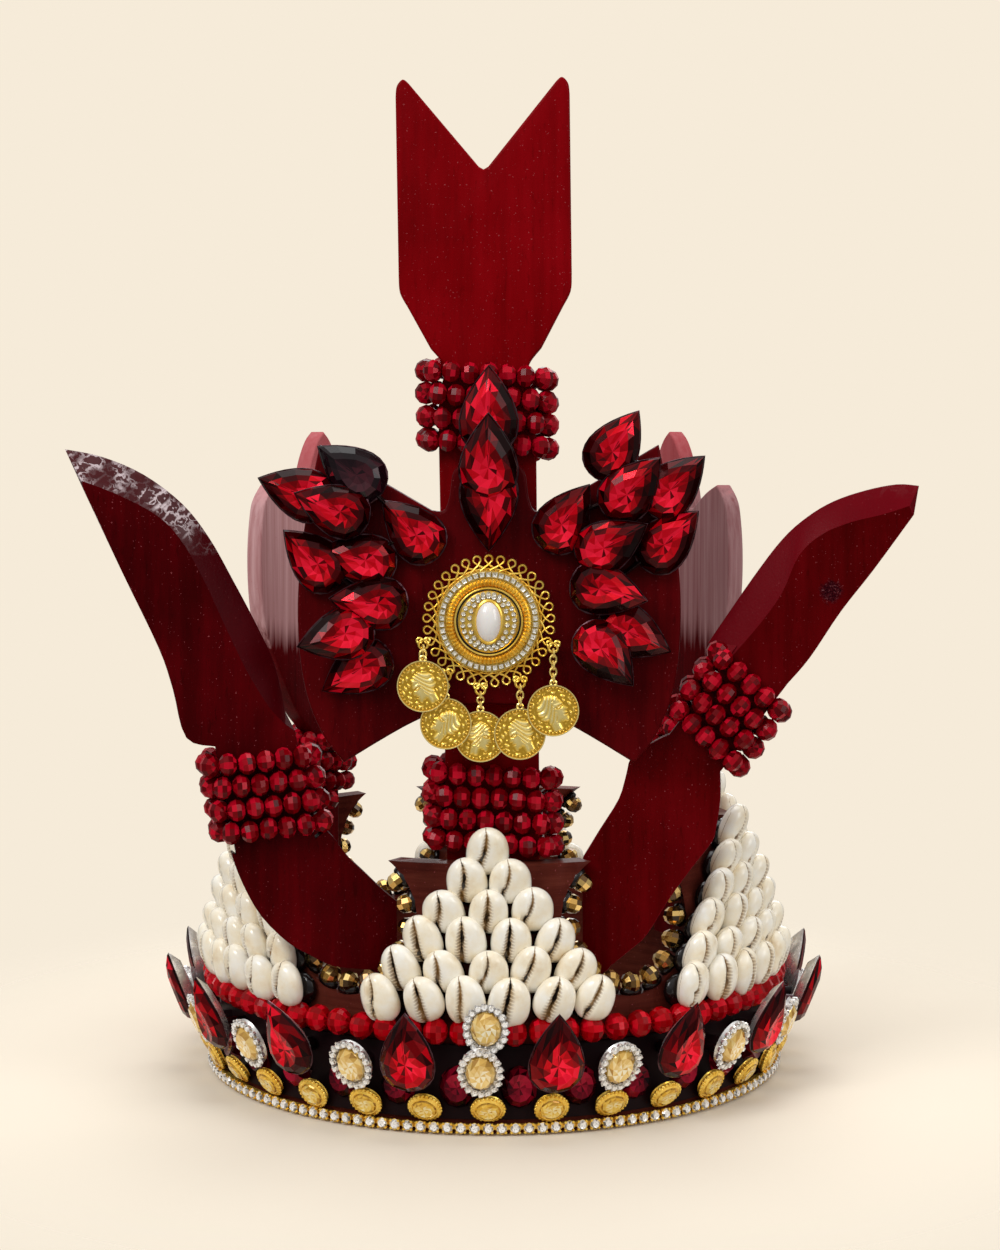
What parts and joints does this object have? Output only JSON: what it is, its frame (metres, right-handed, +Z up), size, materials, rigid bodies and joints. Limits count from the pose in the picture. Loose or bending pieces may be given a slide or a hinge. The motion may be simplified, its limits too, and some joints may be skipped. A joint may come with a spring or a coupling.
{
  "type": "votive crown",
  "caption": "Votive crown: a ring with prongs set with shells, beads and cut stones, a double axe with a brooch and hanging coins in front, two side axes and two machetes.",
  "frame": {"origin": "bottom centre of the crown's bounding box, on the surface that it stands on", "axes": "+Z up; the double axe with the brooch faces -Y; +X to its right hand side in view"},
  "size_m": [0.2933, 0.2492, 0.3638],
  "materials": {
    "lacquered_wood": "dark cherry lacquer, high gloss, grain showing through",
    "cherry_bead": "opaque faceted glass, glossy",
    "red_bead": "opaque bright red faceted glass",
    "red_stone": "clear deep red cut glass with a silver foil back",
    "dark_stone": "dark red cut glass, pale yellow crystals with small clear stones round them",
    "shell": "natural cowrie shell, polished ivory with an ochre mouth",
    "gold": "gold plated, polished",
    "bronze_bead": "faceted glass with a bronze and gold metallic coat",
    "crystal_chain": "small clear stones in gold cups",
    "pearl": "soft pearl lustre"
  },
  "bodies": {
    "crown": {"crown_ring": "lacquered_wood", "crystal_chain": "crystal_chain", "gold_cabochon_band": "gold", "stone_band": "dark_stone", "base_bead_strand": "red_bead", "teardrop_1": "red_stone", "teardrop_2": "red_stone", "teardrop_3": "red_stone", "teardrop_4": "red_stone", "teardrop_5": "red_stone", "teardrop_6": "red_stone", "teardrop_7": "red_stone", "teardrop_8": "red_stone", "teardrop_9": "red_stone", "teardrop_10": "red_stone", "teardrop_11": "red_stone", "teardrop_12": "red_stone", "teardrop_13": "red_stone", "teardrop_14": "red_stone", "teardrop_15": "red_stone", "teardrop_16": "red_stone", "cowrie_panel_1": "shell", "cowrie_panel_2": "shell", "cowrie_panel_3": "shell", "cowrie_panel_4": "shell", "cowrie_panel_5": "shell", "cowrie_panel_6": "shell", "gold_bead_edging_1": "bronze_bead", "gold_bead_edging_2": "bronze_bead", "gold_bead_edging_3": "bronze_bead", "gold_bead_edging_4": "bronze_bead", "gold_bead_edging_5": "bronze_bead", "gold_bead_edging_6": "bronze_bead", "axe_shaft": "lacquered_wood", "axe_head": "lacquered_wood", "axe_upper_winding": "cherry_bead", "axe_lower_winding": "cherry_bead", "left_stone_cluster": "red_stone", "right_stone_cluster": "red_stone", "centre_stone_cluster": "red_stone", "brooch_lace": "gold", "brooch_crystal_dome": "crystal_chain", "brooch_pearl": "pearl", "left_machete": "lacquered_wood", "left_machete_winding": "cherry_bead", "right_machete": "lacquered_wood", "right_machete_winding": "cherry_bead", "left_side_axe": "lacquered_wood", "left_side_axe_winding": "cherry_bead", "right_side_axe": "lacquered_wood", "right_side_axe_winding": "cherry_bead"},
    "coin_1": {"coin_1": "gold"},
    "coin_2": {"coin_2": "gold"},
    "coin_3": {"coin_3": "gold"},
    "coin_4": {"coin_4": "gold"},
    "coin_5": {"coin_5": "gold"}
  },
  "joints": [
    {"name": "coin_1_swing", "type": "hinge", "parent": "crown", "child": "coin_1", "pos_m": [-0.0226, -0.09809, 0.16892], "axis": [0, 1, 0], "range_deg": [-12, 12]},
    {"name": "coin_2_swing", "type": "hinge", "parent": "crown", "child": "coin_2", "pos_m": [-0.0148, -0.09809, 0.15811], "axis": [0, 1, 0], "range_deg": [-12, 12]},
    {"name": "coin_3_swing", "type": "hinge", "parent": "crown", "child": "coin_3", "pos_m": [-0.0029, -0.09809, 0.15318], "axis": [0, 1, 0], "range_deg": [-12, 12]},
    {"name": "coin_4_swing", "type": "hinge", "parent": "crown", "child": "coin_4", "pos_m": [0.0108, -0.09809, 0.15557], "axis": [0, 1, 0], "range_deg": [-12, 12]},
    {"name": "coin_5_swing", "type": "hinge", "parent": "crown", "child": "coin_5", "pos_m": [0.0222, -0.09809, 0.16788], "axis": [0, 1, 0], "range_deg": [-12, 12]}
  ]
}
